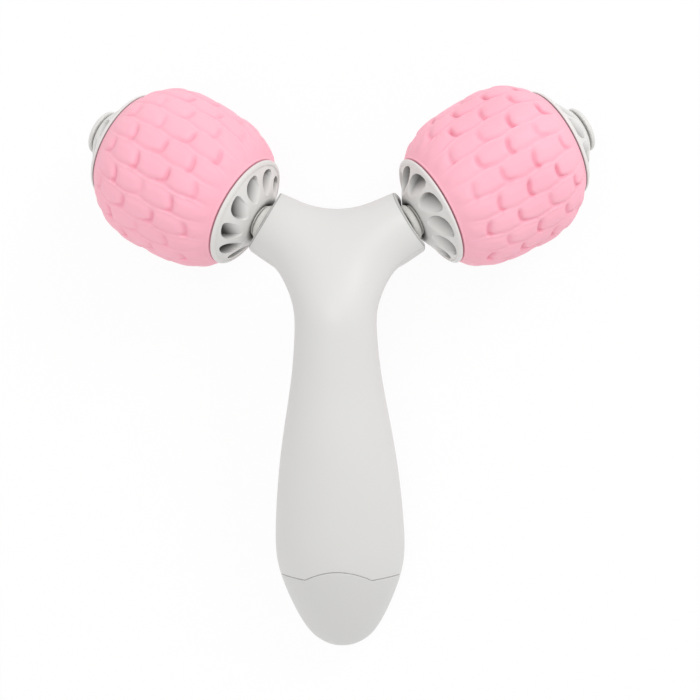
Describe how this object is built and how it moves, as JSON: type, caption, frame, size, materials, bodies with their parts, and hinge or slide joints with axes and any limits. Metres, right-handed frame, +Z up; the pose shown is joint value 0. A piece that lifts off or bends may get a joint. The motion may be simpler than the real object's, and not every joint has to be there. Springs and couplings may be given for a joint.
{
  "type": "massage roller stick",
  "caption": "Hand-held Y-shaped massage stick: a moulded handle with a butt cap, and on each arm a barrel roller with a cellular rubber tread that turns freely on a steel axle.",
  "frame": {"origin": "middle of the bounding box at the table, with the stick lying on both rollers and the butt", "axes": "+Z up from the table out of the front of the handle, +Y along the stick from the butt to the rollers, +X to the right roller"},
  "size_m": [0.1812, 0.1994, 0.0605],
  "materials": {
    "handle_plastic": "satin off-white moulding",
    "roller_plastic": "satin warm white moulding",
    "tread_rubber": "soft pink rubber with raised cells",
    "bush_nylon": "natural nylon",
    "axle_steel": "turned steel",
    "screw_steel": "plain steel"
  },
  "bodies": {
    "handle": {"front_shell": "handle_plastic", "rear_shell": "handle_plastic", "butt_cap": "handle_plastic", "shell_screw_1": "screw_steel", "shell_screw_2": "screw_steel", "shell_screw_3": "screw_steel", "shell_screw_4": "screw_steel", "left_axle": "axle_steel", "left_arm_collar": "roller_plastic", "left_inner_washer": "bush_nylon", "left_outer_washer": "axle_steel", "left_lock_nut": "axle_steel", "left_end_knob": "roller_plastic", "right_axle": "axle_steel", "right_arm_collar": "roller_plastic", "right_inner_washer": "bush_nylon", "right_outer_washer": "axle_steel", "right_lock_nut": "axle_steel", "right_end_knob": "roller_plastic"},
    "left_roller": {"left_inner_core": "roller_plastic", "left_outer_core": "roller_plastic", "left_tread_sleeve": "tread_rubber", "left_inner_bush": "bush_nylon", "left_outer_bush": "bush_nylon"},
    "right_roller": {"right_inner_core": "roller_plastic", "right_outer_core": "roller_plastic", "right_tread_sleeve": "tread_rubber", "right_inner_bush": "bush_nylon", "right_outer_bush": "bush_nylon"}
  },
  "joints": [
    {"name": "left_roller_spin", "type": "hinge", "parent": "handle", "child": "left_roller", "pos_m": [-0.03303, 0.05597, 0.0367], "axis": [-0.8406, 0.4774, -0.256], "continuous": true},
    {"name": "right_roller_spin", "type": "hinge", "parent": "handle", "child": "right_roller", "pos_m": [0.03303, 0.05597, 0.0367], "axis": [0.8406, 0.4774, -0.256], "continuous": true}
  ]
}
